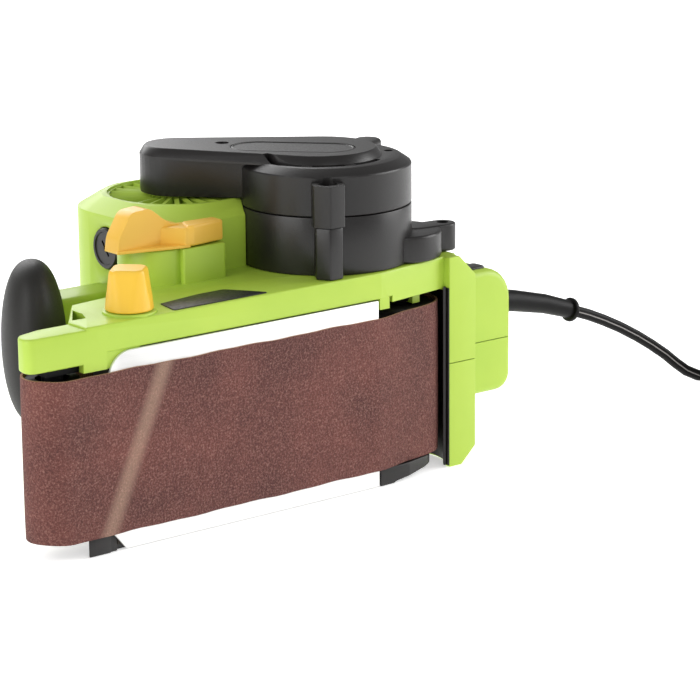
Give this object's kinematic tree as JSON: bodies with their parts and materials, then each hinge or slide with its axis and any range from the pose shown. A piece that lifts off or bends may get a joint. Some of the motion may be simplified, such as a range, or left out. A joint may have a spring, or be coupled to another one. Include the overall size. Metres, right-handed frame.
{
  "type": "belt sander",
  "caption": "Handheld electric belt sander lying on its right side, with rear D grip, front knob grip, side drive cover, belt tension lever, tracking knob and mains cord.",
  "frame": {"origin": "centre of the tool's box at floor level, as it lies on its right side", "axes": "+X towards the rear grip and cord, -Y out of the sanding face, +Z out of the left side with the drive cover"},
  "size_m": [0.6031, 0.202, 0.1649],
  "materials": {
    "green_plastic": "fine moulded texture",
    "black_plastic": "fine moulded texture",
    "soft_grip": "soft touch",
    "yellow_plastic": "satin",
    "steel": "ground",
    "alloy": "die cast",
    "platen_metal": "bright",
    "copper": "turned",
    "carbon": "pressed carbon",
    "abrasive": "grit on cloth backing",
    "cork": "cork sheet",
    "cord_sheath": "smooth sheath"
  },
  "bodies": {
    "housing": {"base_frame": "alloy", "belt_cover": "black_plastic", "brush_cap_front": "black_plastic", "brush_cap_rear": "black_plastic", "carbon_brush_front": "carbon", "carbon_brush_rear": "carbon", "cord": "cord_sheath", "cord_coil": "cord_sheath", "cord_tail": "cord_sheath", "countershaft_bearing": "steel", "cover_badge": "black_plastic", "drive_roller_bearing": "steel", "dust_outlet": "black_plastic", "front_handle": "soft_grip", "front_handle_neck": "green_plastic", "gear_case": "black_plastic", "handle_bolt": "steel", "left_housing": "green_plastic", "motor_bearing_left": "steel", "motor_bearing_right": "steel", "platen_pad": "cork", "platen_plate": "platen_metal", "plug_body": "cord_sheath", "plug_pin_a": "steel", "plug_pin_b": "steel", "rating_plate": "black_plastic", "right_housing": "green_plastic", "sanding_belt": "abrasive", "side_rail": "black_plastic", "stator": "steel", "strain_relief": "cord_sheath", "switch_module": "black_plastic", "tension_spring": "steel", "timing_belt": "soft_grip"},
    "drive_roller": {"rear_drive_roller": "soft_grip", "drive_shaft": "steel", "drive_gear": "steel"},
    "rotor": {"armature_core": "steel", "armature_shaft": "steel", "commutator": "copper", "cooling_fan": "black_plastic", "motor_pulley": "alloy"},
    "countershaft_group": {"countershaft": "steel", "pinion_gear": "steel", "large_pulley": "alloy"},
    "yoke": {"tension_yoke": "steel", "idler_axle": "steel"},
    "idler": {"front_idler_roller": "alloy"},
    "lever": {"tension_lever": "yellow_plastic", "lever_cam_shaft": "steel"},
    "knob": {"tracking_knob": "yellow_plastic", "tracking_screw": "steel"},
    "trigger_group": {"trigger": "black_plastic"},
    "lock_group": {"lock_button": "black_plastic"}
  },
  "joints": [
    {"name": "drive_roller_spin", "type": "hinge", "parent": "housing", "child": "drive_roller", "pos_m": [0.0785, -0.0482, 0.05], "axis": [0, 0, 1], "continuous": true},
    {"name": "armature_spin", "type": "hinge", "parent": "housing", "child": "rotor", "pos_m": [-0.0005, 0.0265, 0.08], "axis": [0, 0, 1], "continuous": true},
    {"name": "countershaft_spin", "type": "hinge", "parent": "housing", "child": "countershaft_group", "pos_m": [0.0493, -0.0288, 0.12], "axis": [0, 0, 1], "continuous": true},
    {"name": "yoke_slide", "type": "slide", "parent": "housing", "child": "yoke", "axis": [1, 0, 0], "range_m": [0, 0.006]},
    {"name": "idler_spin", "type": "hinge", "parent": "yoke", "child": "idler", "pos_m": [-0.133, -0.0605, 0.05], "axis": [0, 0, 1], "continuous": true},
    {"name": "lever_turn", "type": "hinge", "parent": "housing", "child": "lever", "pos_m": [-0.052, -0.0155, 0.12], "axis": [0, 0, -1], "range_deg": [0, 90]},
    {"name": "tracking_knob_turn", "type": "hinge", "parent": "housing", "child": "knob", "pos_m": [-0.0895, -0.0595, 0.11], "axis": [0, 0, 1], "range_deg": [-180, 180]},
    {"name": "trigger_press", "type": "slide", "parent": "housing", "child": "trigger_group", "axis": [0, 1, 0], "range_m": [0, 0.0035], "stiffness_N_per_m": 800, "springref_m": -0.003},
    {"name": "lock_press", "type": "slide", "parent": "housing", "child": "lock_group", "axis": [0, 0, -1], "range_m": [0, 0.002], "stiffness_N_per_m": 400, "springref_m": -0.002}
  ],
  "couplings": [
    {"joint": "countershaft_spin", "follows": "armature_spin", "ratio": 0.5},
    {"joint": "drive_roller_spin", "follows": "armature_spin", "ratio": -0.3913},
    {"joint": "idler_spin", "follows": "armature_spin", "ratio": -0.546},
    {"joint": "lever_turn", "follows": "yoke_slide", "rad_per_m": 261.7}
  ]
}
